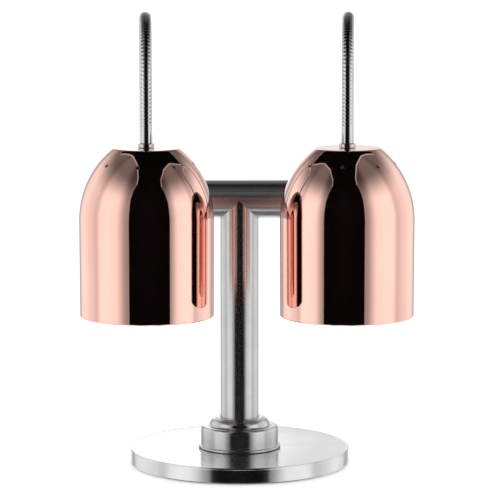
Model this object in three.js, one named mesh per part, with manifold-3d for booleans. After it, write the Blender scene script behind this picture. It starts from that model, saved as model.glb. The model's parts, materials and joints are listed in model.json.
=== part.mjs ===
// A free-standing twin heat lamp for a food counter: a weighted round foot, a tubular T stand,
// and two bell shades hung from flexible necks. Millimetres, +Z up, front towards -Y,
// origin at the middle of the resting face.
import * as THREE from "three";
import { mergeVertices } from "three/addons/utils/BufferGeometryUtils.js";
import Module from "manifold-3d";

const wasm = await Module();
wasm.setup();

// ---------------------------------------------------------------- driving dimensions
const GAP = 0.3; // running gap between touching pieces
const SHEET = 1.5; // stainless sheet and tube wall

const BASE_R = 145.5; // weighted foot
const BASE_TOP = 22;
const PAD_T = 2;

const COLLAR_R = 51.4; // drum at the post's foot
const COLLAR_TOP = 51.3;
const FLANGE_R = 54.5;
const LOCK_RING_TOP = 62.3;
const CORD_Z = 36; // height of the cord gland

const TUBE_R = 25.4; // two-inch post and crossbar
const BAR_Z = 354; // crossbar axis
const BAR_HALF = 165;
const BAR_MID = 9.5; // the bar sits this far to the right of the post
const SOCKET_HALF = 133; // half the distance between the two neck sockets
const LAMP_HALF = 127; // half the distance between the two lamps
const LAMP_MID = 10;
const LAMP_Y = -160; // lamps hang this far in front of the post

const NECK_R = 8; // flexible neck
const NECK_BORE = 4.5;
const NECK_BEND = 80; // radius of the arch
const NECK_SPRING = 517; // height where both legs turn into the arch
const PIVOT_Z = 500; // height of the bending points in both legs
const SEAT_LIFT = 3.6; // the arch's ends stop this far above the bending points
const LOWER_FERRULE = [392.3, 418];
const UPPER_FERRULE = [443.8, 466.3];

const SHADE_TOP = 438;
const SHADE_RIM = 223.5;
const SHADE_R = 85.5;
const SHADE_T = 1.2;
const DOME_H = 92; // from the top down to the straight wall
const DOME_ARC = 118; // radius of the dome's arc
const VENTS = 8;
const VENT_R = 2.75;
const VENT_RING_R = 60;
const VENT_TURN = -8; // degrees that the first vent is turned from the front

const BULB_R = 62.5;
const BULB_TIP = 242; // lowest point of the glass
const SWITCH_R = 9.9;
const ROCKER_TILT = 8; // degrees, switched off

const FINE = 32; // facets round the large pieces
const COARSE = 14; // facets round the small ones

// ---------------------------------------------------------------- finishes
const finish = (color, roughness, metalness) => new THREE.MeshStandardMaterial({ color, roughness, metalness });
const copper = () => finish(0xd98f78, 0.06, 1);
const chrome = () => finish(0xdcdde0, 0.08, 1);
const brushed = () => finish(0xb9bbbd, 0.3, 1);
const steel = () => finish(0x8e9194, 0.45, 1);
const iron = () => finish(0x3c3d3f, 0.8, 0.3);
const brass = () => finish(0xc9a24d, 0.3, 1);
const rubber = () => finish(0x1d1d1f, 0.9, 0);
const plastic = () => finish(0x17181a, 0.5, 0);
const porcelain = () => finish(0xefece4, 0.25, 0);
const glass = () => finish(0xe8e2dc, 0.2, 0);

// ---------------------------------------------------------------- geometry helpers
const rad = THREE.MathUtils.degToRad;
const points = (pairs) => pairs.map(([r, z]) => new THREE.Vector2(r, z));

// A turned piece standing on +Z, from [radius, height] pairs.
function turned(pairs, facets = COARSE) {
  const geometry = new THREE.LatheGeometry(points(pairs), facets);
  geometry.rotateX(Math.PI / 2);
  return facingOut(geometry);
}

// A plain ring or tube between two radii and two heights.
function ring(inner, outer, low, high, facets = COARSE) {
  return turned([[inner, low], [outer, low], [outer, high], [inner, high], [inner, low]], facets);
}

// A disc or rod on the axis.
function disc(radius, low, high, facets = COARSE) {
  return turned([[0, low], [radius, low], [radius, high], [0, high]], facets);
}

// Points on a circular arc, angles in degrees from +r towards +z.
function arc(r0, z0, radius, from, to, steps) {
  const list = [];
  for (let i = 0; i <= steps; i++) {
    const a = rad(from + ((to - from) * i) / steps);
    list.push([r0 + radius * Math.cos(a), z0 + radius * Math.sin(a)]);
  }
  return list;
}

function solid(geometry) {
  const bare = geometry.clone();
  bare.deleteAttribute("normal");
  bare.deleteAttribute("uv");
  const merged = mergeVertices(bare, 1e-3);
  const triVerts = new Uint32Array(merged.index.array);
  const vertProperties = new Float32Array(merged.attributes.position.array);
  return new wasm.Manifold(new wasm.Mesh({ numProp: 3, vertProperties, triVerts }));
}

function geometryOf(body) {
  const mesh = body.getMesh();
  const geometry = new THREE.BufferGeometry();
  geometry.setAttribute("position", new THREE.BufferAttribute(new Float32Array(mesh.vertProperties), 3));
  geometry.setIndex(new THREE.BufferAttribute(new Uint32Array(mesh.triVerts), 1));
  geometry.computeVertexNormals();
  return geometry;
}

// Signed volume tells which way the faces point; a lathe's depends on its profile's direction.
function facingOut(geometry) {
  const flat = geometry.index ? geometry.toNonIndexed() : geometry;
  const p = flat.attributes.position;
  const [a, b, c] = [new THREE.Vector3(), new THREE.Vector3(), new THREE.Vector3()];
  let volume = 0;
  for (let i = 0; i < p.count; i += 3) {
    a.fromBufferAttribute(p, i);
    b.fromBufferAttribute(p, i + 1);
    c.fromBufferAttribute(p, i + 2);
    volume += a.dot(b.cross(c));
  }
  if (volume > 0 || !geometry.index) return geometry;
  const index = Array.from(geometry.index.array);
  for (let i = 0; i < index.length; i += 3) [index[i], index[i + 1]] = [index[i + 1], index[i]];
  geometry.setIndex(index);
  geometry.computeVertexNormals();
  return geometry;
}

const cut = (geometry, ...tools) => geometryOf(tools.reduce((s, t) => s.subtract(solid(t)), solid(geometry)));

// A hexagon standing on +Z, measured across its corners, and the same with a round bore.
function hexagon(radius, low, high) {
  const geometry = new THREE.CylinderGeometry(radius, radius, high - low, 6);
  return geometry.rotateX(Math.PI / 2).translate(0, 0, (low + high) / 2);
}

const hexNut = (bore, radius, low, high) => cut(hexagon(radius, low, high), disc(bore, low - 1, high + 1));

// A rod between two points, used as a drill or a pin.
function rodBetween(from, to, radius, facets = COARSE) {
  const start = new THREE.Vector3(...from);
  const along = new THREE.Vector3(...to).sub(start);
  const geometry = new THREE.CylinderGeometry(radius, radius, along.length(), facets);
  const turn = new THREE.Quaternion().setFromUnitVectors(new THREE.Vector3(0, 1, 0), along.clone().normalize());
  geometry.applyQuaternion(turn);
  const middle = start.addScaledVector(along, 0.5);
  return geometry.translate(middle.x, middle.y, middle.z);
}

// A round section carried along a list of points.
function wire(route, radius, steps) {
  const path = new THREE.CatmullRomCurve3(route.map((p) => new THREE.Vector3(...p)));
  const section = new THREE.Shape().absarc(0, 0, radius, 0, 2 * Math.PI);
  return new THREE.ExtrudeGeometry(section, { extrudePath: path, steps, curveSegments: 4 });
}

const model = new THREE.Group();
function add(name, geometry, material, parent = model) {
  const mesh = new THREE.Mesh(geometry, material);
  mesh.name = name;
  parent.add(mesh);
  return mesh;
}

// A turned piece laid along another direction: +Z of the profile goes to the given axis.
function aim(mesh, direction, [x, y, z]) {
  mesh.quaternion.setFromUnitVectors(new THREE.Vector3(0, 0, 1), new THREE.Vector3(...direction));
  mesh.position.set(x, y, z);
}

// ---------------------------------------------------------------- weighted foot
function foot() {
  const skirt = BASE_R - SHEET;
  const low = PAD_T + GAP;
  const boltHead = [4.4, 10];
  const washer = [10.3, 11.8];
  add("rubber_pad", disc(139, 0, PAD_T, FINE), rubber());
  add("bottom_plate", disc(skirt - 1, low, low + 1.5, FINE), steel());
  const pocket = washer[1] + GAP;
  const weightTop = BASE_TOP - SHEET - GAP;
  const weightLow = low + 1.5 + GAP;
  const weight = [[12, weightLow], [142, weightLow], [142, weightTop], [6, weightTop], [6, pocket], [12, pocket]];
  add("base_weight", turned([...weight, weight[0]], FINE), iron());
  const edge = 1.4;
  const cover = [
    [skirt, low], [BASE_R, low], [BASE_R, BASE_TOP - edge],
    ...arc(BASE_R - edge, BASE_TOP - edge, edge, 30, 90, 2),
    [14, BASE_TOP], [14, BASE_TOP - SHEET], [skirt, BASE_TOP - SHEET], [skirt, low],
  ];
  add("base_cover", turned(cover, 48), brushed());
  const bolt = solid(hexagon(9.2, ...boltHead)).add(solid(disc(4.9, boltHead[1] - 1, 32)));
  add("clamp_bolt", geometryOf(bolt), steel());
  add("clamp_washer", ring(5.3, 11, ...washer), steel());
}

// ---------------------------------------------------------------- collar, gland and post
function collar() {
  const wall = 46;
  const round = 4.8;
  const low = BASE_TOP + GAP;
  const drum = [
    [wall, low], [FLANGE_R, low], [FLANGE_R, low + 2.6], [COLLAR_R, low + 3.2],
    ...arc(COLLAR_R - round, COLLAR_TOP - round, round, 0, 90, 4),
    [TUBE_R + GAP, COLLAR_TOP], [TUBE_R + GAP, COLLAR_TOP - 4], [wall, COLLAR_TOP - 5], [wall, low],
  ];
  const hole = rodBetween([0, 40, CORD_Z], [0, 60, CORD_Z], 5.8, 16);
  add("post_collar", cut(turned(drum, FINE), hole), chrome());
  const lock = [
    [TUBE_R + GAP, COLLAR_TOP + GAP], [42, COLLAR_TOP + GAP], [39.6, COLLAR_TOP + 1.6],
    ...arc(31.2, COLLAR_TOP + 1.6, 8.2, 12, 78, 4),
    [31.5, LOCK_RING_TOP], [TUBE_R + GAP, LOCK_RING_TOP], [TUBE_R + GAP, COLLAR_TOP + GAP],
  ];
  add("lock_ring", turned(lock, FINE), chrome());
}

function cordGland() {
  const face = COLLAR_R + GAP;
  const flange = hexagon(9, 0, 4);
  const nipple = disc(5.5, -12, 1, 16);
  const bore = disc(3.9, -13, 5, 16);
  const body = solid(flange).add(solid(nipple)).subtract(solid(bore));
  aim(add("gland_body", geometryOf(body), plastic()), [0, 1, 0], [0, face, CORD_Z]);
  const cap = [[3.6, 4.3], [8.3, 4.3], [8.3, 10], ...arc(4.3, 11, 4, 10, 80, 3), [3.6, 15], [3.6, 4.3]];
  aim(add("gland_cap", turned(cap), plastic()), [0, 1, 0], [0, face, CORD_Z]);
  aim(add("gland_locknut", hexNut(5.8, 8.6, -11, -7), plastic()), [0, 1, 0], [0, face, CORD_Z]);
}

function post() {
  const inner = TUBE_R - SHEET;
  const bar = rodBetween([-60, 0, BAR_Z], [60, 0, BAR_Z], TUBE_R + GAP, 48);
  const cable = rodBetween([0, 15, CORD_Z], [0, 40, CORD_Z], 5, 12);
  const low = BASE_TOP + GAP;
  const tube = solid(ring(inner, TUBE_R, low, BAR_Z, FINE)).subtract(solid(bar)).subtract(solid(cable));
  add("post_tube", geometryOf(tube), brushed());
  add("post_foot_plug", ring(5.2, inner - GAP, low + GAP, low + 8), steel());
}

// ---------------------------------------------------------------- crossbar with its switches
function crossbar() {
  const inner = TUBE_R - SHEET;
  const drills = [rodBetween([0, 0, BAR_Z - 30], [0, 0, BAR_Z], 12, 16)];
  for (const side of [-1, 1]) {
    const x = BAR_MID + side * SOCKET_HALF;
    drills.push(rodBetween([x, 0, BAR_Z], [x, 0, BAR_Z + 30], 5.4, 12));
  }
  const tube = ring(inner, TUBE_R, -BAR_HALF, BAR_HALF, FINE).rotateY(Math.PI / 2).translate(BAR_MID, 0, BAR_Z);
  add("crossbar_tube", cut(tube, ...drills), brushed());
  add("terminal_block", new THREE.BoxGeometry(26, 12, 12).translate(0, 0, BAR_Z - 8), porcelain());
  const route = [[0, 38, CORD_Z], [0, 24, CORD_Z + 1], [0, 10, CORD_Z + 22], [0, 0, 120], [0, 0, BAR_Z - 15]];
  add("supply_wire", wire(route, 3, 20), rubber());
}

function barEnd(name, side) {
  const outward = [side, 0, 0];
  const face = [BAR_MID + side * (BAR_HALF + GAP), 0, BAR_Z];
  const hole = SWITCH_R + GAP;
  const plug = TUBE_R - SHEET - GAP;
  const edge = TUBE_R - 0.9;
  const cap = [[hole, -7], [plug, -7], [plug, 0], [TUBE_R, 0], [TUBE_R, 1.2], [edge, 2], [hole, 2], [hole, -7]];
  aim(add(name + "_end_cap", turned(cap, FINE), brushed()), outward, face);
  const well = 8.5;
  const bezel = 12;
  const cup = [
    [0, -18], [SWITCH_R, -18], [SWITCH_R, 2 + GAP], [bezel, 2 + GAP], [bezel, 3.4],
    [bezel - 1, 4.2], [well, 4.2], [well, -5], [0, -5],
  ];
  aim(add(name + "_switch_body", turned(cup, 24), plastic()), outward, face);
  // The rocker's section, out of the face and up, carried across its width.
  const half = 5.8;
  const section = [[1.8, 0], [3.4, half], [-1.2, half], [-3.4, 2.4], [-3.4, -2.4], [-1.2, -half], [3.4, -half]];
  const shape = new THREE.Shape(section.map(([n, z]) => new THREE.Vector2(n * side, z)));
  const rocker = new THREE.ExtrudeGeometry(shape, { depth: 9, bevelEnabled: false }).translate(0, 0, -4.5);
  rocker.rotateX(Math.PI / 2).rotateY(rad(ROCKER_TILT) * side);
  const pivot = BAR_MID + side * (BAR_HALF + GAP + 3);
  add(name + "_switch_rocker", rocker.translate(pivot, 0, BAR_Z), plastic());
}

// ---------------------------------------------------------------- flexible necks
function neck(name, side) {
  const x = BAR_MID + side * SOCKET_HALF;
  const group = new THREE.Group();
  group.position.set(x, 0, 0);
  model.add(group);
  const top = BAR_Z + TUBE_R;
  const shoulder = LOWER_FERRULE[0] - GAP;
  const collarRing = ring(2.9, 11, top - 4, shoulder - 1.5, 20);
  const neckRing = ring(2.9, 9.5, shoulder - 2, shoulder, 20);
  const nipple = ring(2.9, 4.9, top - 11, top + 4, 20);
  const bar = rodBetween([-30, 0, BAR_Z], [30, 0, BAR_Z], TUBE_R + GAP, 48);
  const boss = solid(collarRing).subtract(solid(bar)).add(solid(neckRing)).add(solid(nipple));
  add(name + "_neck_socket", geometryOf(boss), chrome(), group);
  add(name + "_neck_nut", hexNut(5.2, 8.6, top - 9.6, top - 4.6), steel(), group);
  const ferrule = [
    [NECK_BORE, LOWER_FERRULE[0]], [8.8, LOWER_FERRULE[0]], [8.3, LOWER_FERRULE[1] - 1],
    [7.6, LOWER_FERRULE[1]], [NECK_BORE, LOWER_FERRULE[1]], [NECK_BORE, LOWER_FERRULE[0]],
  ];
  add(name + "_lower_ferrule", turned(ferrule), chrome(), group);
  add(name + "_neck_rear", turned(legProfile(LOWER_FERRULE[1] + GAP)), chrome(), group);

  // The arch runs forward and a little inward, from the socket to the lamp.
  const front = new THREE.Vector3(LAMP_MID + side * LAMP_HALF - x, LAMP_Y, 0);
  const path = new THREE.CurvePath();
  const end = PIVOT_Z + SEAT_LIFT;
  const middle = front.clone().multiplyScalar(0.5).setZ(NECK_SPRING);
  path.add(new THREE.LineCurve3(new THREE.Vector3(0, 0, end), new THREE.Vector3(0, 0, NECK_SPRING)));
  path.add(new ArchCurve(middle, front.clone().multiplyScalar(0.5)));
  path.add(new THREE.LineCurve3(front.clone().setZ(NECK_SPRING), front.clone().setZ(end)));
  const section = new THREE.Shape().absarc(0, 0, NECK_R, 0, 2 * Math.PI);
  section.holes.push(new THREE.Path().absarc(0, 0, NECK_BORE, 0, 2 * Math.PI));
  const tube = new THREE.ExtrudeGeometry(section, { extrudePath: path, steps: 22, curveSegments: 6 });
  const ball = (p) => new THREE.SphereGeometry(NECK_R + GAP, 24, 16).translate(p.x, p.y, PIVOT_Z);
  add(name + "_neck_arch", cut(tube, ball(new THREE.Vector3()), ball(front)), chrome(), group);
}

// Half a circle over the gap between the two legs.
class ArchCurve extends THREE.Curve {
  constructor(middle, reach) {
    super();
    this.middle = middle;
    this.reach = reach;
  }

  getPoint(t) {
    const a = Math.PI * t;
    const point = this.middle.clone().addScaledVector(this.reach, -Math.cos(a));
    return point.setZ(this.middle.z + NECK_BEND * Math.sin(a));
  }
}

// A straight leg of the neck that ends in a ball at its bending point.
function legProfile(low) {
  const bare = (Math.asin(NECK_BORE / NECK_R) * 180) / Math.PI;
  return [
    [NECK_BORE, low], [NECK_R, low],
    ...arc(0, PIVOT_Z, NECK_R, 0, 90 - bare, 4),
    [NECK_BORE, low],
  ];
}

// ---------------------------------------------------------------- lamp heads
function shadeProfile() {
  const wallTop = SHADE_TOP - DOME_H;
  const centre = SHADE_R - DOME_ARC;
  const topAngle = (Math.asin((DOME_H - 1.2) / DOME_ARC) * 180) / Math.PI;
  const rimR = SHADE_R - 0.5;
  const hem = 1.6;
  const skin = (offset, down) => [
    ...arc(centre, wallTop, DOME_ARC - offset, 0, topAngle, 7),
    [38, SHADE_TOP - down],
    [5.6, SHADE_TOP - down],
  ];
  return [
    [rimR - SHADE_T - hem, SHADE_RIM], [rimR, SHADE_RIM],
    ...skin(0, 0),
    ...skin(SHADE_T, SHADE_T).reverse(),
    [rimR - SHADE_T, SHADE_RIM + 4.5], [rimR - SHADE_T - hem, SHADE_RIM + 4],
    [rimR - SHADE_T - hem, SHADE_RIM],
  ];
}

function ventDrills() {
  const centre = SHADE_R - DOME_ARC;
  const lean = Math.acos((VENT_RING_R - centre) / DOME_ARC);
  const drills = [];
  for (let i = 0; i < VENTS; i++) {
    const turn = rad(-90 + VENT_TURN + (360 / VENTS) * i);
    const at = (reach) => {
      const r = centre + reach * Math.cos(lean);
      return [r * Math.cos(turn), r * Math.sin(turn), SHADE_TOP - DOME_H + reach * Math.sin(lean)];
    };
    drills.push(rodBetween(at(DOME_ARC - 6), at(DOME_ARC + 6), VENT_R, 10));
  }
  return drills;
}

function lamp(name, side) {
  const head = new THREE.Group();
  head.position.set(LAMP_MID + side * LAMP_HALF, LAMP_Y, 0);
  model.add(head);
  add(name + "_neck_front", turned(legProfile(UPPER_FERRULE[1] + GAP)), chrome(), head);
  const ferrule = [
    [5.4, UPPER_FERRULE[0]], [8.3, UPPER_FERRULE[0]], [7.9, UPPER_FERRULE[1] - 1],
    [7.4, UPPER_FERRULE[1]], [NECK_BORE, UPPER_FERRULE[1]], [NECK_BORE, 449], [5.4, 449], [5.4, UPPER_FERRULE[0]],
  ];
  add(name + "_upper_ferrule", turned(ferrule), chrome(), head);
  const nutLow = SHADE_TOP + GAP;
  const nut = [[5.4, nutLow], [9.6, nutLow], [10.6, nutLow + 1], [10.6, 442.5], [9.8, 443.5], [5.4, 443.5], [5.4, nutLow]];
  add(name + "_shade_nut", turned(nut, 24), chrome(), head);
  add(name + "_shade", cut(turned(shadeProfile(), FINE), ...ventDrills()), copper(), head);

  add(name + "_stem", ring(3.2, 5.1, 423, 448.6), brass(), head);
  add(name + "_holder_nut", hexNut(5.4, 9.5, 430.2, SHADE_TOP - SHEET - GAP), steel(), head);
  const cup = [
    [5.4, 429.9], [22, 429.9], [24.5, 427.5], [24.5, 412], [23.3, 412],
    [23.3, 427], [21.5, 428.7], [5.4, 428.7], [5.4, 429.9],
  ];
  add(name + "_socket_cup", turned(cup, 24), steel(), head);
  const body = [
    [14.6, 385], [20, 385], [21, 388], [21, 408], [23, 410], [23, 422], [5.4, 422],
    [5.4, 417], [14.6, 416], [14.6, 385],
  ];
  add(name + "_porcelain_socket", turned(body, 24), porcelain(), head);
  add(name + "_screw_shell", ring(13.6, 14.3, 388, 413), brass(), head);
  add(name + "_centre_contact", disc(3.4, 413.6, 416.6, 12), brass(), head);
  const cap = [
    [12.2, 384], [13.3, 384], [13.3, 409], [9, 411.5], [4, 412], [4, 413.3],
    [0, 413.3], [0, 411], [8.5, 410.3], [12.2, 408], [12.2, 384],
  ];
  add(name + "_bulb_cap", turned(cap), brass(), head);
  add(name + "_bulb_glass", turned(bulbProfile(), 24), glass(), head);
}

// A reflector bulb: a shallow dome below, a round shoulder and a tapering neck, open at the top.
function bulbProfile() {
  const faceArc = 118;
  const shoulderArc = 26;
  const shoulderUp = 34;
  const neckEnd = 383.7;
  const outer = (t) => [
    [0, BULB_TIP + t],
    ...arc(0, BULB_TIP + faceArc, faceArc - t, -78, -70, 1),
    ...arc(BULB_R - shoulderArc, BULB_TIP + shoulderUp, shoulderArc - t, -50, 32, 3),
    [34 - t, 336], [19 - t, 366], [14.5 - t, neckEnd],
  ];
  const glassT = 1.2;
  return [...outer(0), ...outer(glassT).reverse()];
}

foot();
collar();
cordGland();
post();
crossbar();
for (const [name, side] of [["left", -1], ["right", 1]]) {
  barEnd(name, side);
  neck(name, side);
  lamp(name, side);
}

export default model;
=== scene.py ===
"""Looks of the twin copper heat lamp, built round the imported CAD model."""
import json
import math

import bmesh
import bpy
from mathutils import Matrix, Vector


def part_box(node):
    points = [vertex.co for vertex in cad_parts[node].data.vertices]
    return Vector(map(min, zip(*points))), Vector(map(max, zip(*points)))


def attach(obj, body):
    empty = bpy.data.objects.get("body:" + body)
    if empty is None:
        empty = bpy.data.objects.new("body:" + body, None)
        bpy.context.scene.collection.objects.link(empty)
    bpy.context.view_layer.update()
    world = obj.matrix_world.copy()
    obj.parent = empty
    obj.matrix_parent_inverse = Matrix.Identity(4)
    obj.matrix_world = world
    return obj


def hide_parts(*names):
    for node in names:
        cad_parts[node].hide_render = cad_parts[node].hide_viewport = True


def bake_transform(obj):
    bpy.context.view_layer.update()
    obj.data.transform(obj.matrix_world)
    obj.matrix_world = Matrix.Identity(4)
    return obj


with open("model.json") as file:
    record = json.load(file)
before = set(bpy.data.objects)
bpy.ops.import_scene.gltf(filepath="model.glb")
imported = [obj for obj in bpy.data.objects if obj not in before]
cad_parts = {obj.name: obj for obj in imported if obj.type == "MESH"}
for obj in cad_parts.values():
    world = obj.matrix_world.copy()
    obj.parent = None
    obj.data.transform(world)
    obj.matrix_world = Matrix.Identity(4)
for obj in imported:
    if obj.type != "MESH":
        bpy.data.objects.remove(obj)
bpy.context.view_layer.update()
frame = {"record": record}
MM = 0.001
GAP = 0.3 * MM  # between pieces that touch
SIDES = (("left", -1), ("right", 1))
JOINTS = {j["name"]: j for j in frame["record"]["behaviour"]["joints"]}


# ------------------------------------------------------------------ camera and studio
def make_camera():
    data = bpy.data.cameras.new("camera")
    data.lens = 209
    data.sensor_width = 36
    data.clip_end = 60
    camera = bpy.data.objects.new("camera", data)
    bpy.context.collection.objects.link(camera)
    looks_down = 7.77
    camera.location = (0.014, -3.805, 0.805)
    camera.rotation_euler = (math.radians(90 - looks_down), 0, 0)
    bpy.context.scene.camera = camera


make_camera()
bpy.context.scene.view_settings.view_transform = "Standard"


def arc(r0, z0, radius, start, stop, steps):
    """Points on a circular arc, in degrees from +r towards +z."""
    turn = [math.radians(start + (stop - start) * i / steps) for i in range(steps + 1)]
    return [(r0 + radius * math.cos(a), z0 + radius * math.sin(a)) for a in turn]


def link(name, mesh):
    piece = bpy.data.objects.new(name, mesh)
    bpy.context.collection.objects.link(piece)
    return piece


def new_material(name):
    material = bpy.data.materials.new(name)
    material.use_nodes = True
    nodes = material.node_tree.nodes
    return material, nodes, material.node_tree.links, nodes["Principled BSDF"]


def only_in_reflections(piece):
    piece.visible_camera = False
    piece.visible_diffuse = False
    piece.visible_shadow = False


def card(name, rows, middle, light):
    """An upright card that bends overhead, from rows of (half width, y, z)."""
    corners = []
    for half, y, z in rows:
        corners += [(middle - half, y, z), (middle + half, y, z)]
    mesh = bpy.data.meshes.new(name)
    mesh.from_pydata(corners, [], [(i, i + 1, i + 3, i + 2) for i in range(0, len(corners) - 2, 2)])
    piece = link(name, mesh)
    material, _, _, bsdf = new_material(name)
    bsdf.inputs["Base Color"].default_value = (0, 0, 0, 1)
    bsdf.inputs["Specular IOR Level"].default_value = 0
    bsdf.inputs["Roughness"].default_value = 1
    bsdf.inputs["Emission Color"].default_value = (light, light, light, 1)
    bsdf.inputs["Emission Strength"].default_value = 1
    mesh.materials.append(material)
    only_in_reflections(piece)


def dark_cards():
    """The dark strip round the lens, which narrows upwards and spreads again overhead."""
    middle = 0.012
    front = -0.90
    ceiling = 1.22
    rows = [
        (0.50, front, -1.25), (0.50, front, 0.75), (0.46, front, 0.95), (0.37, front + 0.02, 1.12),
        (0.33, front + 0.15, ceiling), (0.32, -0.42, ceiling), (0.42, -0.15, ceiling),
        (0.62, 0.1, ceiling), (0.75, 0.3, ceiling),
    ]
    card("dark_card", rows, middle, 0.002)
    # A grey card a little wider lies behind the upper rows and shows as a thin pale outline.
    trim = 0.03
    behind = 0.012
    card("light_trim", [(half + trim, y - behind, z + behind) for half, y, z in rows[3:]], middle, 0.5)


def maths(nodes, links, operation, a, b=None):
    node = nodes.new("ShaderNodeMath")
    node.operation = operation
    for socket, value in zip(node.inputs, (a, b)):
        if value is None:
            continue
        if isinstance(value, (int, float)):
            socket.default_value = value
        else:
            links.new(value, socket)
    return node.outputs[0]


def smooth_step(nodes, links, value, low, high, at_low, at_high):
    node = nodes.new("ShaderNodeMapRange")
    node.interpolation_type = "SMOOTHSTEP"
    for socket, number in zip(node.inputs[1:5], (low, high, at_low, at_high)):
        socket.default_value = number
    links.new(value, node.inputs["Value"])
    return node.outputs["Result"]


STUDIO_LIGHT = 1.25
STUDIO_RADIUS = 1.35
STUDIO_MIDDLE = 0.35  # height of the shades, from which the walls' slope is measured
STUDIO_FOOT = -1.3
STUDIO_SPRING = 0.6  # height where the walls bend over into a dome


def studio_walls():
    """Softly graded walls all round, seen only in the metal: darker overhead and in two places each side."""
    outline = [(0, STUDIO_FOOT), (STUDIO_RADIUS, STUDIO_FOOT)]
    outline += arc(0, STUDIO_SPRING, STUDIO_RADIUS, 0, 90, 12)
    around = 64
    verts = [(r * math.cos(2 * math.pi * i / around), r * math.sin(2 * math.pi * i / around), z)
             for r, z in outline for i in range(around)]
    faces = []
    for k in range(len(outline) - 1):
        low, high = k * around, (k + 1) * around
        for i in range(around):
            j = (i + 1) % around
            faces.append((low + i, low + j, high + j, high + i))
    mesh = bpy.data.meshes.new("studio_walls")
    mesh.from_pydata(verts, [], faces)
    piece = link("studio_walls", mesh)
    material, nodes, links, bsdf = new_material("studio_walls")
    place = nodes.new("ShaderNodeTexCoord")
    split = nodes.new("ShaderNodeSeparateXYZ")
    links.new(place.outputs["Object"], split.inputs[0])
    x, y, z = (split.outputs[name] for name in "XYZ")

    def m(operation, a, b=None):
        return maths(nodes, links, operation, a, b)

    # From 0 at the lens to 1 behind the object.
    away = m("ARCTAN2", m("ABSOLUTE", x), m("MULTIPLY", y, -1.0))
    ramp_node = nodes.new("ShaderNodeValToRGB")
    ramp_node.color_ramp.interpolation = "EASE"
    stops = (
        (0.0, 1.0), (0.17, 0.30), (0.28, 0.95), (0.34, 1.0), (0.41, 1.0), (0.465, 0.66),
        (0.55, 0.80), (0.65, 0.92), (0.73, 0.85), (0.82, 0.40), (0.90, 0.75), (0.96, 1.05),
    )
    ramp = ramp_node.color_ramp.elements
    while len(ramp) < len(stops):
        ramp.new(0.5)
    for element, (where, level) in zip(ramp, stops):
        element.position = where
        element.color = (level, level, level, 1)
    links.new(m("DIVIDE", away, math.pi), ramp_node.inputs["Fac"])
    rise = m("SUBTRACT", z, STUDIO_MIDDLE)
    flat = m("SQRT", m("ADD", m("MULTIPLY", x, x), m("MULTIPLY", y, y)))
    reach = m("SQRT", m("ADD", m("MULTIPLY", rise, rise), m("MULTIPLY", flat, flat)))
    slope = m("DIVIDE", rise, reach)
    overhead = smooth_step(nodes, links, slope, 0.30, 0.74, 1.0, 0.16)
    right = smooth_step(nodes, links, x, -0.06, 0.12, 1.12, 0.72)
    rear = smooth_step(nodes, links, y, 1.15, 1.3, 0.0, 1.0)
    side_light = m("ADD", m("MULTIPLY", rear, m("SUBTRACT", right, 1.0)), 1.0)
    level = m("MULTIPLY", m("MULTIPLY", ramp_node.outputs["Color"], overhead), side_light)
    bsdf.inputs["Base Color"].default_value = (0, 0, 0, 1)
    bsdf.inputs["Specular IOR Level"].default_value = 0
    links.new(level, bsdf.inputs["Emission Color"])
    bsdf.inputs["Emission Strength"].default_value = STUDIO_LIGHT
    mesh.materials.append(material)
    only_in_reflections(piece)


def make_floor():
    mesh = bpy.data.meshes.new("floor")
    reach = 30
    level = -0.4 * MM  # clear of the rubber pad's underside
    turns = ((-1, -1), (1, -1), (1, 1), (-1, 1))
    corners = [(x * reach, y * reach, level) for x, y in turns]
    mesh.from_pydata(corners, [], [(0, 1, 2, 3)])
    floor = link("floor", mesh)
    floor.visible_glossy = False
    material, _, _, bsdf = new_material("pale_floor")
    bsdf.inputs["Base Color"].default_value = (0.86, 0.86, 0.86, 1)
    bsdf.inputs["Roughness"].default_value = 0.9
    bsdf.inputs["Specular IOR Level"].default_value = 0
    bsdf.inputs["Emission Color"].default_value = (1, 1, 1, 1)
    bsdf.inputs["Emission Strength"].default_value = 0.42
    mesh.materials.append(material)


def make_world():
    world = bpy.data.worlds.new("studio")
    bpy.context.scene.world = world
    world.use_nodes = True
    background = world.node_tree.nodes["Background"]
    background.inputs["Color"].default_value = (1, 1, 1, 1)
    background.inputs["Strength"].default_value = 1.0


dark_cards()
studio_walls()
make_floor()
make_world()


# ------------------------------------------------------------------ mesh helpers
def softened(corners, steps=4):
    """A closed outline whose corners (r, z, size) are rounded by size."""
    points = []
    count = len(corners)
    for i, (r, z, size) in enumerate(corners):
        here = Vector((r, z))
        if size <= 0:
            points.append((r, z))
            continue
        before = Vector(corners[i - 1][:2])
        after = Vector(corners[(i + 1) % count][:2])
        a = here + (before - here).normalized() * size
        b = here + (after - here).normalized() * size
        for k in range(steps + 1):
            t = k / steps
            point = a * (1 - t) ** 2 + here * 2 * t * (1 - t) + b * t * t
            points.append(tuple(point))
    return points


def upright(x, y):
    return Matrix.Translation((x, y, 0))


def mark_sharp(edge, limit):
    if len(edge.link_faces) == 2 and edge.calc_face_angle(0) > limit:
        edge.smooth = False


def finish_mesh(bm, name, place=None, sharp=32):
    bmesh.ops.recalc_face_normals(bm, faces=bm.faces)
    if place is not None:
        bm.transform(place)
    for face in bm.faces:
        face.smooth = True
    for edge in bm.edges:
        mark_sharp(edge, math.radians(sharp))
    mesh = bpy.data.meshes.new(name)
    bm.to_mesh(mesh)
    bm.free()
    return link(name, mesh)


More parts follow.
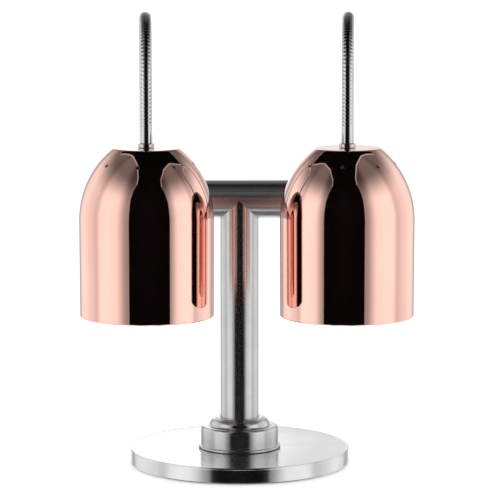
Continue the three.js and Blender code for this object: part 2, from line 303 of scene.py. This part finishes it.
def turned(name, outline, place, segments=96):
    """A piece turned round its own axis from a closed outline of (radius, height)."""
    bm = bmesh.new()
    rings = []
    for r, z in outline:
        if r < 1e-6:
            rings.append([bm.verts.new((0, 0, z))])
            continue
        ring = []
        for i in range(segments):
            a = 2 * math.pi * i / segments
            ring.append(bm.verts.new((r * math.cos(a), r * math.sin(a), z)))
        rings.append(ring)
    pairs = list(zip(rings, rings[1:]))
    if len(rings[0]) > 1 or len(rings[-1]) > 1:
        pairs.append((rings[-1], rings[0]))
    for low, high in pairs:
        for i in range(segments):
            below = [low[i % len(low)], low[(i + 1) % len(low)]]
            above = [high[(i + 1) % len(high)], high[i % len(high)]]
            unique = list(dict.fromkeys(below + above))
            if len(unique) > 2:
                bm.faces.new(unique)
    return finish_mesh(bm, name, place)


def corners_of(node):
    """The lowest and the highest corner of a CAD node's box."""
    low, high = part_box(node)
    return Vector(low), Vector(high)


def settle(piece, material, body, slot, *replaced):
    """Gives a piece its finish when it has none, attaches it to its body when one is given, and hides the CAD
    nodes it stands for. The slot argument is not used.
    """
    if not piece.data.materials:
        piece.data.materials.append(material)
    if body:
        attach(piece, body)
    if replaced:
        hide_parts(*replaced)


# ------------------------------------------------------------------ materials
def grain(nodes, links, scale, centre=None, axis="Z"):
    """Noise drawn out along one direction, or round the vertical axis when a centre is given."""
    place = nodes.new("ShaderNodeTexCoord")
    split = nodes.new("ShaderNodeSeparateXYZ")
    join = nodes.new("ShaderNodeCombineXYZ")
    if centre is not None:
        shift = nodes.new("ShaderNodeVectorMath")
        shift.operation = "SUBTRACT"
        shift.inputs[1].default_value = centre
        links.new(place.outputs["Object"], shift.inputs[0])
        flat = nodes.new("ShaderNodeVectorMath")
        flat.operation = "MULTIPLY"
        flat.inputs[1].default_value = (1, 1, 0)
        links.new(shift.outputs[0], flat.inputs[0])
        reach = nodes.new("ShaderNodeVectorMath")
        reach.operation = "LENGTH"
        links.new(flat.outputs[0], reach.inputs[0])
        links.new(shift.outputs[0], split.inputs[0])
        links.new(reach.outputs["Value"], join.inputs["X"])
        links.new(split.outputs["Z"], join.inputs["Z"])
    else:
        links.new(place.outputs["Object"], split.inputs[0])
        for name in "XYZ":
            if name != axis:
                links.new(split.outputs[name], join.inputs[name])
    noise = nodes.new("ShaderNodeTexNoise")
    noise.inputs["Scale"].default_value = scale
    noise.inputs["Detail"].default_value = 3.0
    links.new(join.outputs[0], noise.inputs["Vector"])
    return noise.outputs["Fac"]


def ranged(nodes, links, value, low, high, start=0.3, stop=0.7):
    node = nodes.new("ShaderNodeMapRange")
    node.inputs["From Min"].default_value = start
    node.inputs["From Max"].default_value = stop
    node.inputs["To Min"].default_value = low
    node.inputs["To Max"].default_value = high
    links.new(value, node.inputs["Value"])
    return node.outputs["Result"]


def mottle(nodes, links, scale):
    place = nodes.new("ShaderNodeTexCoord")
    noise = nodes.new("ShaderNodeTexNoise")
    noise.inputs["Scale"].default_value = scale
    noise.inputs["Detail"].default_value = 4.0
    links.new(place.outputs["Object"], noise.inputs["Vector"])
    return noise.outputs["Fac"]


def coloured(nodes, links, factor, one, two):
    mix = nodes.new("ShaderNodeMix")
    mix.data_type = "RGBA"
    links.new(factor, mix.inputs["Factor"])
    mix.inputs[6].default_value = (*one, 1)
    mix.inputs[7].default_value = (*two, 1)
    return mix.outputs[2]


def surface(name, one, two, rough, metallic, streaks=None, bump=0.0, spots=30.0, sheen=None, brushed=None):
    """A material with two close colours, roughness between two values, and fine grain.
    A brushed one, given (axis, amount), is brushed round that axis, which draws reflections out along it."""
    material, nodes, links, bsdf = new_material(name)
    bsdf.inputs["Metallic"].default_value = metallic
    soft = mottle(nodes, links, spots)
    fine = streaks(nodes, links) if streaks else mottle(nodes, links, spots * 12)
    links.new(coloured(nodes, links, ranged(nodes, links, soft, 0, 1), one, two), bsdf.inputs["Base Color"])
    links.new(ranged(nodes, links, fine, *rough), bsdf.inputs["Roughness"])
    if bump:
        raised = nodes.new("ShaderNodeBump")
        raised.inputs["Strength"].default_value = bump
        raised.inputs["Distance"].default_value = 0.0002
        links.new(fine, raised.inputs["Height"])
        links.new(raised.outputs["Normal"], bsdf.inputs["Normal"])
    if sheen:
        bsdf.inputs["Coat Weight"].default_value = sheen
    if brushed:
        tangent = nodes.new("ShaderNodeTangent")
        tangent.direction_type = "RADIAL"
        tangent.axis = brushed[0]
        links.new(tangent.outputs[0], bsdf.inputs["Tangent"])
        bsdf.inputs["Anisotropic"].default_value = brushed[1]
        bsdf.inputs["Anisotropic Rotation"].default_value = 0.25
    return material


def make_materials():
    foot = Vector((0, 0, 0))
    return {
        "copper": surface("copper", (0.93, 0.585, 0.505), (0.90, 0.545, 0.46), (0.03, 0.06), 1, spots=9),
        "inside": surface("shade_inside", (0.52, 0.52, 0.52), (0.46, 0.46, 0.47), (0.28, 0.42), 1, bump=0.1),
        "chrome": surface("neck_chrome", (0.62, 0.63, 0.64), (0.55, 0.56, 0.57), (0.07, 0.15), 1, spots=60),
        "collar": surface("collar_steel", (0.58, 0.58, 0.58), (0.51, 0.51, 0.515), (0.16, 0.30), 1,
                          lambda n, l: grain(n, l, 900, foot), bump=0.03, brushed=("Z", 0.8)),
        "tube": surface("tube_steel", (0.58, 0.58, 0.58), (0.52, 0.52, 0.52), (0.20, 0.31), 1,
                        lambda n, l: grain(n, l, 700, None, "Z"), bump=0.02, brushed=("Z", 0.85)),
        "bar": surface("bar_steel", (0.58, 0.58, 0.58), (0.52, 0.52, 0.52), (0.28, 0.38), 1,
                       lambda n, l: grain(n, l, 700, None, "X"), bump=0.02, brushed=("X", 0.85)),
        "base": surface("base_steel", (0.70, 0.70, 0.70), (0.62, 0.62, 0.62), (0.10, 0.26), 1,
                        lambda n, l: grain(n, l, 600, foot), bump=0.03, brushed=("Z", 0.6)),
        "zinc": surface("zinc_steel", (0.50, 0.51, 0.52), (0.40, 0.41, 0.42), (0.3, 0.5), 1, bump=0.1),
        "iron": surface("cast_iron", (0.06, 0.06, 0.065), (0.03, 0.03, 0.03), (0.6, 0.85), 0.3,
                        bump=0.6, spots=80),
        "rubber": surface("pad_rubber", (0.03, 0.03, 0.032), (0.02, 0.02, 0.02), (0.6, 0.85), 0,
                          bump=0.3, spots=120),
        "plastic": surface("black_nylon", (0.025, 0.025, 0.027), (0.018, 0.018, 0.02), (0.35, 0.5), 0,
                           bump=0.15, spots=90),
        "rocker": surface("rocker_gloss", (0.03, 0.03, 0.032), (0.022, 0.022, 0.024), (0.12, 0.2), 0,
                          bump=0.03, sheen=0.4),
        "sleeve": surface("wire_sleeve", (0.16, 0.15, 0.14), (0.10, 0.10, 0.10), (0.6, 0.8), 0,
                          bump=0.5, spots=200),
        "porcelain": surface("porcelain", (0.83, 0.81, 0.76), (0.76, 0.74, 0.69), (0.1, 0.2), 0,
                             bump=0.03, sheen=0.5),
        "brass": surface("brass", (0.78, 0.58, 0.28), (0.66, 0.48, 0.22), (0.18, 0.34), 1, bump=0.08),
    }


FINISH = make_materials()


def lamp_glass(level):
    """Frosted face, and a silvered cone above the given height."""
    material, nodes, links, bsdf = new_material("bulb_glass")
    place = nodes.new("ShaderNodeTexCoord")
    split = nodes.new("ShaderNodeSeparateXYZ")
    links.new(place.outputs["Object"], split.inputs[0])
    silver = ranged(nodes, links, split.outputs["Z"], 0, 1, level - 0.001, level + 0.001)
    cloud = mottle(nodes, links, 25)
    face = coloured(nodes, links, ranged(nodes, links, cloud, 0, 1), (0.80, 0.76, 0.70), (0.72, 0.67, 0.60))
    mix = nodes.new("ShaderNodeMix")
    mix.data_type = "RGBA"
    links.new(silver, mix.inputs["Factor"])
    links.new(face, mix.inputs[6])
    mix.inputs[7].default_value = (0.72, 0.72, 0.73, 1)
    links.new(mix.outputs[2], bsdf.inputs["Base Color"])
    links.new(silver, bsdf.inputs["Metallic"])
    links.new(ranged(nodes, links, cloud, 0.16, 0.3), bsdf.inputs["Roughness"])
    bsdf.inputs["Coat Weight"].default_value = 0.5
    return material


# ------------------------------------------------------------------ foot, collar and post
def foot():
    low, high = corners_of("base_cover")
    radius = (high.x - low.x) / 2
    wall = 1.5 * MM
    lip = 0.35 * MM
    outline = softened([
        (radius - wall, low.z, 0.3 * MM), (radius - 0.4 * MM, low.z, 0.5 * MM),
        (radius - 0.4 * MM, high.z - 2.6 * MM, 0.5 * MM), (radius, high.z - 2.0 * MM, 0.4 * MM),
        (radius, high.z, 0.8 * MM), (radius - 2.4 * MM, high.z, 0.4 * MM),
        (radius - 2.9 * MM, high.z - lip, 0.3 * MM), (14 * MM, high.z - lip, 0.2 * MM),
        (14 * MM, high.z - wall, 0), (radius - wall, high.z - wall, 0),
    ], 5)
    settle(turned("foot_disc", outline, upright(0, 0), 256),
           FINISH["base"], "stand", "base_steel", "base_cover")
    low, high = corners_of("rubber_pad")
    radius = (high.x - low.x) / 2
    edge = 0.5 * MM
    outline = [(0, low.z), (radius - edge, low.z), (radius, low.z + edge), (radius, high.z), (0, high.z)]
    settle(turned("foot_pad", outline, upright(0, 0), 128), FINISH["rubber"], "stand", "rubber", "rubber_pad")


def collar():
    low, high = corners_of("post_collar")
    flange = (high.x - low.x) / 2
    drum = flange - 3.1 * MM
    bore = (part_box("post_tube")[1][0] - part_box("post_tube")[0][0]) / 2 + GAP
    inner = 46 * MM
    outline = softened([
        (inner, low.z, 0), (flange, low.z, 0.4 * MM), (flange, low.z + 2.6 * MM, 0.8 * MM),
        (drum, low.z + 3.2 * MM, 0.5 * MM), (drum, high.z, 4.6 * MM), (bore, high.z, 0.2 * MM),
        (bore, high.z - 4 * MM, 0), (inner, high.z - 5 * MM, 0),
    ], 8)
    settle(turned("collar_drum", outline, upright(0, 0), 192),
           FINISH["collar"], "stand", "collar_chrome", "post_collar")
    low, high = corners_of("lock_ring")
    outer = (high.x - low.x) / 2
    outline = [
        (bore, low.z), (outer, low.z), (outer - 1.6 * MM, low.z + 0.3 * MM),
        (outer - 2.4 * MM, low.z + 1.4 * MM),
        *arc(outer - 10.8 * MM, low.z + 1.4 * MM, 8.4 * MM, 8, 82, 12),
        (outer - 10.2 * MM, high.z - 0.5 * MM), (outer - 10.6 * MM, high.z), (bore + 0.4 * MM, high.z),
        (bore, high.z - 0.4 * MM),
    ]
    settle(turned("collar_ring", outline, upright(0, 0), 192),
           FINISH["collar"], "stand", "collar_chrome", "lock_ring")


TUBE_WALL = 1.5 * MM


def post():
    """The post's upper edge follows the crossbar's surface."""
    low, high = corners_of("post_tube")
    radius = (high.x - low.x) / 2
    bar_z = (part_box("crossbar_tube")[0][2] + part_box("crossbar_tube")[1][2]) / 2
    segments = 192
    bm = bmesh.new()
    rings = [[], [], [], []]
    edges = ((radius - TUBE_WALL, False), (radius, False), (radius, True), (radius - TUBE_WALL, True))
    for i in range(segments):
        a = 2 * math.pi * i / segments
        for ring, (r, top) in zip(rings, edges):
            x, y = r * math.cos(a), r * math.sin(a)
            z = bar_z - math.sqrt(max(radius ** 2 - y * y, 0)) if top else low.z
            ring.append(bm.verts.new((x, y, z)))
    for k in range(4):
        one, two = rings[k], rings[(k + 1) % 4]
        for i in range(segments):
            j = (i + 1) % segments
            bm.faces.new((one[i], one[j], two[j], two[i]))
    settle(finish_mesh(bm, "post"), FINISH["tube"], "stand", "tube_steel", "post_tube")


def crossbar():
    low, high = corners_of("crossbar_tube")
    radius = (high.z - low.z) / 2
    middle = (low + high) / 2
    along = Matrix.Translation((0, 0, middle.z)) @ Matrix.Rotation(math.radians(90), 4, "Y")
    bore = radius - TUBE_WALL
    outline = [(bore, low.x), (radius, low.x), (radius, high.x), (bore, high.x)]
    settle(turned("crossbar", outline, along, 192), FINISH["bar"], "stand", "tube_steel", "crossbar_tube")
    for name, side in SIDES:
        face = (high.x if side > 0 else low.x) + side * GAP
        aim = Matrix.Translation((face, 0, middle.z)) @ Matrix.Rotation(math.radians(90 * side), 4, "Y")
        hole = 10.2 * MM
        plug = bore - GAP
        cap = softened([
            (hole, -7 * MM, 0), (plug, -7 * MM, 0), (plug, 0, 0), (radius, 0, 0.2 * MM),
            (radius, 2 * MM, 0.9 * MM), (hole, 2 * MM, 0.2 * MM),
        ], 5)
        settle(turned(name + "_bar_cap", cap, aim, 128),
               FINISH["bar"], "stand", "tube_steel", name + "_end_cap")
        switch(name, side, aim)


def switch(name, side, aim):
    body, bezel, well = 9.9 * MM, 12 * MM, 8.5 * MM
    cup = softened([
        (0, -18 * MM, 0), (body, -18 * MM, 0.6 * MM), (body, 2.3 * MM, 0), (bezel, 2.3 * MM, 0.2 * MM),
        (bezel, 4.2 * MM, 0.9 * MM), (well, 4.2 * MM, 0.3 * MM), (well, -5 * MM, 0), (0, -5 * MM, 0),
    ], 4)
    settle(turned(name + "_switch_housing", cup, aim, 72),
           FINISH["plastic"], "stand", "black_plastic", name + "_switch_body")
    pivot = Vector(JOINTS[name + "_switch"]["pos_m"])
    half = 5.8 * MM
    bm = bmesh.new()
    outer = [(2.6 * MM + 0.9 * MM * (z / half) ** 2, z) for z in [half * (k / 8) for k in range(-8, 9)]]
    section = [*outer, (-1.2 * MM, half), (-3.4 * MM, 2.4 * MM), (-3.4 * MM, -2.4 * MM), (-1.2 * MM, -half)]
    lower = [bm.verts.new((n * side, -4.5 * MM, z)) for n, z in section]
    upper = [bm.verts.new((n * side, 4.5 * MM, z)) for n, z in section]
    bm.faces.new(lower)
    bm.faces.new(upper)
    for i in range(len(section)):
        j = (i + 1) % len(section)
        bm.faces.new((lower[i], lower[j], upper[j], upper[i]))
    bmesh.ops.recalc_face_normals(bm, faces=bm.faces)
    place = Matrix.Translation(pivot) @ Matrix.Rotation(math.radians(8) * side, 4, "Y")
    rocker = finish_mesh(bm, name + "_rocker", place)
    bevel = rocker.modifiers.new("edge", "BEVEL")
    bevel.width = 0.5 * MM
    bevel.segments = 3
    bevel.angle_limit = math.radians(40)
    settle(rocker, FINISH["rocker"], name + "_rocker", "rocker_plastic", name + "_switch_rocker")


def cord_gland():
    low, high = corners_of("gland_cap")
    middle = (low + high) / 2
    rear = Matrix.Translation((0, 0, middle.z)) @ Matrix.Rotation(math.radians(-90), 4, "X")
    start = low.y
    outline = softened([
        (3.6 * MM, start, 0), (8.2 * MM, start, 0.4 * MM), (8.2 * MM, start + 5.5 * MM, 1.2 * MM),
        (6.2 * MM, high.y - 0.4 * MM, 1.6 * MM), (3.6 * MM, high.y, 0.4 * MM),
    ], 5)
    cap = turned("gland_dome", outline, rear, 96)
    settle(cap, FINISH["plastic"], "stand", "black_plastic", "gland_cap")


# ------------------------------------------------------------------ flexible necks
def hose_route(socket, lamp, low_rear, low_front, spring):
    """Points, along the neck, as a function of the distance from its lower rear end."""
    bend = (socket - lamp).length / 2
    rise = spring - low_rear
    sweep = math.pi * bend
    total = rise + sweep + spring - low_front
    across = (lamp - socket).normalized()
    up = Vector((0, 0, 1))

    def at(s):
        if s < rise:
            return socket + up * (low_rear + s), up
        if s < rise + sweep:
            a = (s - rise) / bend
            centre = socket + across * bend + up * spring
            point = centre - across * bend * math.cos(a) + up * bend * math.sin(a)
            return point, (across * math.sin(a) + up * math.cos(a)).normalized()
        return lamp + up * (spring - (s - rise - sweep)), -up

    return at, total, across.cross(up)


def hose(name, at, sideways, start, stop, radius):
    """A ribbed metal hose: one wire wound round and round."""
    pitch = 4.9 * MM
    depth = 0.95 * MM
    per_turn = 10
    around = 40
    rings = max(2, round((stop - start) / pitch * per_turn))
    bm = bmesh.new()
    previous = None
    for k in range(rings + 1):
        s = start + (stop - start) * k / rings
        centre, along = at(s)
        other = along.cross(sideways).normalized()
        ring = []
        for i in range(around):
            a = 2 * math.pi * i / around
            phase = (s / pitch + i / around) % 1.0
            r = radius - depth + depth * math.sqrt(max(0.0, 1 - (2 * phase - 1) ** 4))
            ring.append(bm.verts.new(centre + (sideways * math.cos(a) + other * math.sin(a)) * r))
        if previous:
            for i in range(around):
                j = (i + 1) % around
                bm.faces.new((previous[i], previous[j], ring[j], ring[i]))
        previous = ring
    return finish_mesh(bm, name, sharp=70)


def neck(name, side):
    swing = Vector(JOINTS[name + "_neck_swing"]["pos_m"])
    tilt = Vector(JOINTS[name + "_lamp_tilt"]["pos_m"])
    socket = Vector((swing.x, swing.y, 0))
    lamp = Vector((tilt.x, tilt.y, 0))
    rear_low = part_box(name + "_neck_rear")[0][2] - 1 * MM
    front_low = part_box(name + "_neck_front")[0][2] - 1 * MM
    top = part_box(name + "_neck_arch")[1][2]
    radius = 8 * MM
    spring = top - radius - (socket - lamp).length / 2
    at, total, sideways = hose_route(socket, lamp, rear_low, front_low, spring)
    apex = spring - rear_low + math.pi * (socket - lamp).length / 4
    rear = hose(name + "_hose_rear", at, sideways, 0, apex, radius)
    settle(rear, FINISH["chrome"], None, "neck_chrome", name + "_neck_rear", name + "_neck_arch")
    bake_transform(rear)
    front = hose(name + "_hose_front", at, sideways, apex, total, radius)
    settle(front, FINISH["chrome"], None, "neck_chrome", name + "_neck_front")
    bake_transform(front)

    low, high = corners_of(name + "_neck_socket")
    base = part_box("crossbar_tube")[1][2] - 4 * MM
    outline = softened([
        (3 * MM, base, 0), (11 * MM, base, 0), (11 * MM, high.z - 1.8 * MM, 0.6 * MM),
        (9.5 * MM, high.z, 0.5 * MM), (3 * MM, high.z, 0),
    ], 5)
    settle(turned(name + "_socket_boss", outline, upright(swing.x, 0), 96),
           FINISH["chrome"], "stand", "neck_chrome",
           name + "_neck_socket")
    low, high = corners_of(name + "_lower_ferrule")
    outline = softened([
        (4.5 * MM, low.z, 0), (8.8 * MM, low.z, 0.5 * MM), (8.8 * MM, low.z + 3 * MM, 0.4 * MM),
        (8.3 * MM, low.z + 3.8 * MM, 0.4 * MM), (8.3 * MM, high.z, 1.0 * MM), (4.5 * MM, high.z, 0),
    ], 5)
    settle(turned(name + "_ferrule_low", outline, upright(swing.x, 0), 96),
           FINISH["chrome"], name + "_neck_leg",
           "neck_chrome", name + "_lower_ferrule")


# ------------------------------------------------------------------ lamp heads
DOME_STEPS = 70
VENT_CELLS = 3
VENT_RADIUS = 2.75 * MM
SHADE_SEGMENTS = 256
VENT_COUNT = 8
VENT_RING = 60 * MM
VENT_TURN = -8  # degrees that the first vent is turned from the front


def shade(name, x, y):
    low, high = corners_of(name + "_shade")
    radius = 85.5 * MM
    dome = 118 * MM
    dome_height = 92 * MM
    skin = 1.2 * MM
    spring = high.z - dome_height
    centre = radius - dome
    crown = math.degrees(math.asin((dome_height - 1.2 * MM) / dome))
    rim = radius - 0.5 * MM

    def side_of(offset, down):
        edge = dome - offset
        points = arc(centre, spring, edge, 0, crown, DOME_STEPS)
        last = Vector(points[-1])
        flat = Vector((38 * MM, high.z - down))
        corner = Vector((last.x - 1.6 * MM, high.z - down))
        for t in (0.2, 0.4, 0.6, 0.8, 1.0):
            points.append(tuple(last * (1 - t) ** 2 + corner * 2 * t * (1 - t) + flat * t * t))
        return points + [(r * MM, high.z - down) for r in (30, 12, 5.6)]

    foot_z = low.z + 1.2 * MM
    wall = [(rim + (radius - rim) * t, foot_z + (spring - foot_z) * t) for t in (0.0, 0.02, 0.25, 0.5, 0.75)]
    hem = [(rim - skin - 1.5 * MM, low.z + 3.2 * MM), (rim - skin - 1.7 * MM, low.z + 1.2 * MM),
           *arc(rim - 1.45 * MM, low.z + 1.2 * MM, 1.2 * MM, 200, 340, 8)]
    outer = wall + side_of(0, 0)
    inner = side_of(skin, skin)
    inner_wall = [(p[0] - skin, p[1]) for p in wall[2:]]
    lip = [(rim - skin, low.z + 4.4 * MM)]
    outline = hem + outer + inner[::-1] + inner_wall[::-1] + lip
    dome_at = len(hem) + len(wall)
    inner_at = len(hem) + len(outer) + (len(inner) - 1)
    # The vents lie on the same ring and at the same angles as in the CAD model.
    row = round(math.degrees(math.acos((VENT_RING - centre) / dome)) / crown * DOME_STEPS)
    angle = math.radians(crown) / DOME_STEPS
    turn0 = math.radians(-90 + VENT_TURN)
    step = 2 * math.pi / SHADE_SEGMENTS
    bm = bmesh.new()
    grid = []
    for r, z in outline:
        grid.append([bm.verts.new((r * math.cos(turn0 + step * i), r * math.sin(turn0 + step * i), z))
                     for i in range(SHADE_SEGMENTS)])
    count = len(outline)
    every = SHADE_SEGMENTS // VENT_COUNT

    def vented(p, i):
        across = (i + VENT_CELLS) % every < 2 * VENT_CELLS
        out = row - VENT_CELLS <= p - dome_at < row + VENT_CELLS
        back = row - VENT_CELLS <= inner_at - 1 - p < row + VENT_CELLS
        return across and (out or back)

    inside_faces = []
    first_inner = len(hem) + len(outer)
    for p in range(count):
        q = (p + 1) % count
        for i in range(SHADE_SEGMENTS):
            if vented(p, i):
                continue
            j = (i + 1) % SHADE_SEGMENTS
            face = bm.faces.new((grid[p][i], grid[p][j], grid[q][j], grid[q][i]))
            if p >= first_inner or p < 2:
                inside_faces.append(face)
    for v in range(VENT_COUNT):
        rims = []
        for level, edge in ((0, dome), (1, dome - skin)):
            border = []
            for a, b in ring_cells(VENT_CELLS):
                p = dome_at + row + b if level == 0 else inner_at - row - b
                border.append((grid[p][(v * every + a) % SHADE_SEGMENTS], a, b))
            theta0 = turn0 + step * v * every
            lean = row * angle
            reach = centre + edge * math.cos(lean)
            circles = []
            for blend in (0.5, 1.0):
                circle = []
                for vert, a, b in border:
                    flat = Vector((a * step * reach, b * angle * edge))
                    target = flat.normalized() * VENT_RADIUS
                    spot = flat.lerp(target, blend)
                    t = lean + spot.y / edge
                    rr = centre + edge * math.cos(t)
                    th = theta0 + spot.x / reach
                    height = spring + edge * math.sin(t)
                    circle.append(bm.verts.new((rr * math.cos(th), rr * math.sin(th), height)))
                circles.append(circle)
            loops = [[vert for vert, a, b in border], *circles]
            for one, two in zip(loops, loops[1:]):
                for i in range(len(one)):
                    j = (i + 1) % len(one)
                    face = bm.faces.new((one[i], one[j], two[j], two[i]))
                    if level:
                        inside_faces.append(face)
            rims.append(circles[-1])
        for i in range(len(rims[0])):
            j = (i + 1) % len(rims[0])
            bm.faces.new((rims[0][i], rims[0][j], rims[1][j], rims[1][i]))
    for face in inside_faces:
        face.material_index = 1
    piece = finish_mesh(bm, name + "_bell", upright(x, y), sharp=35)
    piece.data.materials.append(FINISH["copper"])
    piece.data.materials.append(FINISH["inside"])
    settle(piece, FINISH["copper"], name + "_lamp", "copper", name + "_shade")


def ring_cells(n):
    """The grid points round a square of 2n by 2n cells, in order."""
    points = [(a, -n) for a in range(-n, n)]
    points += [(n, b) for b in range(-n, n)]
    points += [(a, n) for a in range(n, -n, -1)]
    points += [(-n, b) for b in range(n, -n, -1)]
    return points


def lamp_fittings(name, x, y):
    place = upright(x, y)
    body = name + "_lamp"
    low, high = corners_of(name + "_shade_nut")
    outline = softened([
        (5.4 * MM, low.z, 0), (10.6 * MM, low.z, 0.6 * MM),
        (10.6 * MM, high.z, 1.1 * MM), (5.4 * MM, high.z, 0),
    ], 5)
    settle(turned(name + "_nut", outline, place, 96),
           FINISH["chrome"], body, "neck_chrome", name + "_shade_nut")
    low, high = corners_of(name + "_upper_ferrule")
    outline = softened([
        (5.4 * MM, low.z, 0), (8.3 * MM, low.z, 0.5 * MM), (7.9 * MM, high.z - 5 * MM, 0.5 * MM),
        (7.9 * MM, high.z, 0.9 * MM), (4.6 * MM, high.z, 0),
    ], 5)
    settle(turned(name + "_ferrule_top", outline, place, 96), FINISH["chrome"], body, "neck_chrome",
           name + "_upper_ferrule")
    low, high = corners_of(name + "_socket_cup")
    outline = softened([
        (5.4 * MM, high.z, 0), (24.5 * MM, high.z, 2.6 * MM), (24.5 * MM, low.z, 0.2 * MM),
        (23.3 * MM, low.z, 0.2 * MM),
        (23.3 * MM, high.z - 1.2 * MM, 2 * MM), (5.4 * MM, high.z - 1.2 * MM, 0),
    ], 5)
    settle(turned(name + "_cup", outline, place, 96),
           FINISH["zinc"], body, "zinc_steel", name + "_socket_cup")
    low, high = corners_of(name + "_porcelain_socket")
    outline = softened([
        (14.6 * MM, low.z, 0.5 * MM), (20 * MM, low.z, 1.2 * MM), (21 * MM, low.z + 4 * MM, 0.8 * MM),
        (21 * MM, high.z - 13 * MM, 0.8 * MM), (23 * MM, high.z - 11 * MM, 0.8 * MM),
        (23 * MM, high.z, 0.6 * MM),
        (5.4 * MM, high.z, 0), (5.4 * MM, high.z - 5 * MM, 0), (14.6 * MM, high.z - 6 * MM, 0),
    ], 4)
    settle(turned(name + "_porcelain", outline, place, 96), FINISH["porcelain"], body, "porcelain",
           name + "_porcelain_socket")
    low, high = corners_of(name + "_bulb_cap")
    turns, steps = 6, 10
    thread = []
    for k in range(turns * steps + 1):
        z = low.z + 1 * MM + (high.z - 5.5 * MM - low.z) * k / (turns * steps)
        thread.append((12.85 * MM - 0.4 * MM * math.cos(2 * math.pi * k / steps), z))
    outline = [
        (12.1 * MM, low.z), (12.6 * MM, low.z), *thread, (9 * MM, high.z - 1.8 * MM),
        (4 * MM, high.z - 1.3 * MM), (3.6 * MM, high.z), (0, high.z), (0, high.z - 2.3 * MM),
        (8 * MM, high.z - 3.2 * MM), (11.8 * MM, high.z - 6 * MM),
    ]
    settle(turned(name + "_cap_thread", outline, place, 72),
           FINISH["brass"], body, "brass", name + "_bulb_cap")
    bulb(name, place, body)


def bulb(name, place, body):
    low, high = corners_of(name + "_bulb_glass")
    widest = (high.x - low.x) / 2

    def skin(t):
        face = arc(0, low.z + 190 * MM, 190 * MM - t, -90, -90 + 12.2, 14)
        shoulder = arc(widest - 22 * MM, low.z + 26.3 * MM, 22 * MM - t, -78, 25, 16)
        start = Vector(shoulder[-1])
        end = Vector((14.5 * MM - t, high.z))
        one = start + Vector((-8 * MM, 20 * MM))
        two = end + Vector((0.4 * MM, -34 * MM))
        neck_line = []
        for k in range(1, 15):
            u = k / 14
            p = start * (1 - u) ** 3 + one * 3 * u * (1 - u) ** 2 + two * 3 * u * u * (1 - u) + end * u ** 3
            neck_line.append(tuple(p))
        return face + shoulder + neck_line

    outline = skin(0) + skin(1.2 * MM)[::-1]
    outline[0] = (0, low.z)
    outline[-1] = (0, low.z + 1.2 * MM)
    piece = turned(name + "_bulb", outline, place, 128)
    settle(piece, lamp_glass(low.z + 45 * MM), body, "bulb_glass", name + "_bulb_glass")


# ------------------------------------------------------------------ CAD nodes that stay
KEPT = {
    "bottom_plate": "zinc", "base_weight": "iron", "clamp_bolt": "zinc", "clamp_washer": "zinc",
    "gland_body": "plastic", "gland_locknut": "plastic", "post_foot_plug": "zinc",
    "terminal_block": "porcelain", "supply_wire": "sleeve",
}
KEPT_EACH = {
    "neck_nut": "zinc", "stem": "brass", "holder_nut": "zinc", "screw_shell": "brass",
    "centre_contact": "brass",
}


def dress_kept():
    wanted = dict(KEPT)
    for name, _ in SIDES:
        wanted.update({name + "_" + node: finish for node, finish in KEPT_EACH.items()})
    for node, finish in wanted.items():
        piece = bpy.data.objects[node]
        piece.data.materials.clear()
        piece.data.materials.append(FINISH[finish])


foot()
collar()
post()
crossbar()
cord_gland()
for name, side in SIDES:
    neck(name, side)
    tilt = Vector(JOINTS[name + "_lamp_tilt"]["pos_m"])
    shade(name, tilt.x, tilt.y)
    lamp_fittings(name, tilt.x, tilt.y)
dress_kept()
